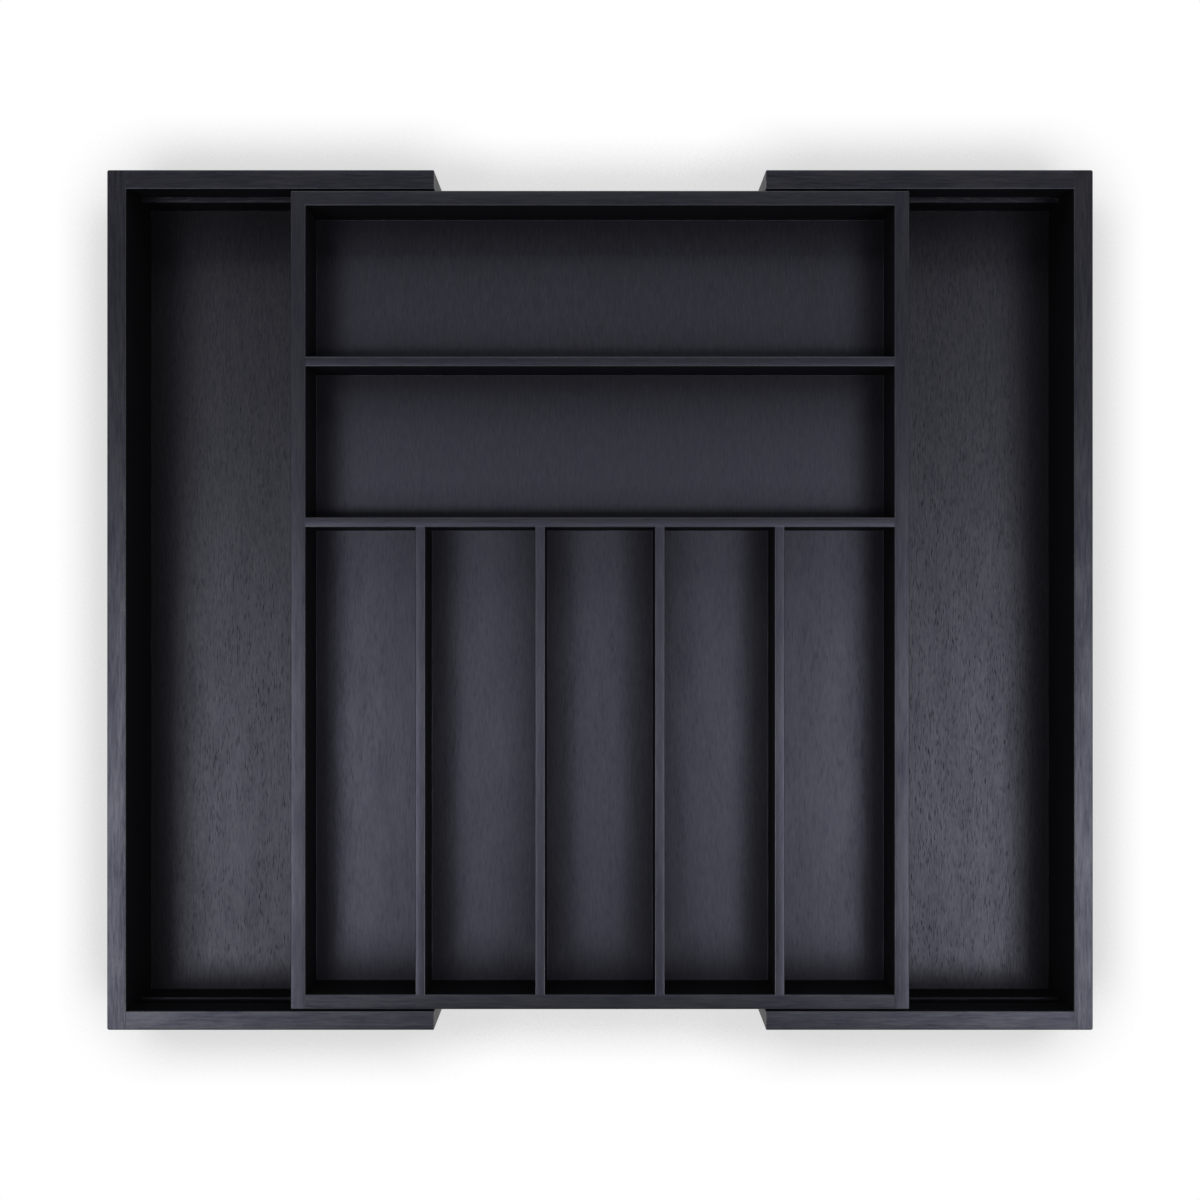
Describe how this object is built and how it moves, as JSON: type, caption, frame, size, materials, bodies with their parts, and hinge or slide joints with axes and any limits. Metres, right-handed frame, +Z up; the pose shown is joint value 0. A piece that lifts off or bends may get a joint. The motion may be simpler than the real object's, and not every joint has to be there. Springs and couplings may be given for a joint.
{
  "type": "cutlery tray",
  "caption": "Black stained wooden cutlery tray for a drawer: a divided middle tray between side wings that slide out on runners to widen it.",
  "frame": {"origin": "on the table, under the middle of the tray", "axes": "+X to the right along the slides, +Y to the back, where the two bays lie across, +Z up"},
  "size_m": [0.5, 0.4362, 0.0635],
  "materials": {
    "black_wood": "black stain under a thin satin lacquer, grain along each board",
    "black_panel": "black stain under a thin satin lacquer on a veneered panel with open pores",
    "runner_wood": "black stain, waxed",
    "steel_brad": "plain drawn wire"
  },
  "bodies": {
    "tray": {"tray_left_wall": "black_wood", "tray_right_wall": "black_wood", "tray_back_wall": "black_wood", "tray_front_wall": "black_wood", "tray_floor": "black_panel", "rear_cross_divider": "black_wood", "front_cross_divider": "black_wood", "long_divider_1": "black_wood", "long_divider_2": "black_wood", "long_divider_3": "black_wood", "long_divider_4": "black_wood", "front_left_runner": "runner_wood", "back_left_runner": "runner_wood", "front_right_runner": "runner_wood", "back_right_runner": "runner_wood", "tray_corner_brads": "steel_brad", "runner_brads": "steel_brad"},
    "left_wing": {"left_wing_end_wall": "black_wood", "left_wing_front_rail": "black_wood", "left_wing_back_rail": "black_wood", "left_wing_floor": "black_panel", "left_wing_corner_brads": "steel_brad"},
    "right_wing": {"right_wing_end_wall": "black_wood", "right_wing_front_rail": "black_wood", "right_wing_back_rail": "black_wood", "right_wing_floor": "black_panel", "right_wing_corner_brads": "steel_brad"}
  },
  "joints": [
    {"name": "left_wing_slide", "type": "slide", "parent": "tray", "child": "left_wing", "axis": [-1, 0, 0], "range_m": [-0.0832, 0]},
    {"name": "right_wing_slide", "type": "slide", "parent": "tray", "child": "right_wing", "axis": [1, 0, 0], "range_m": [-0.0832, 0]}
  ]
}
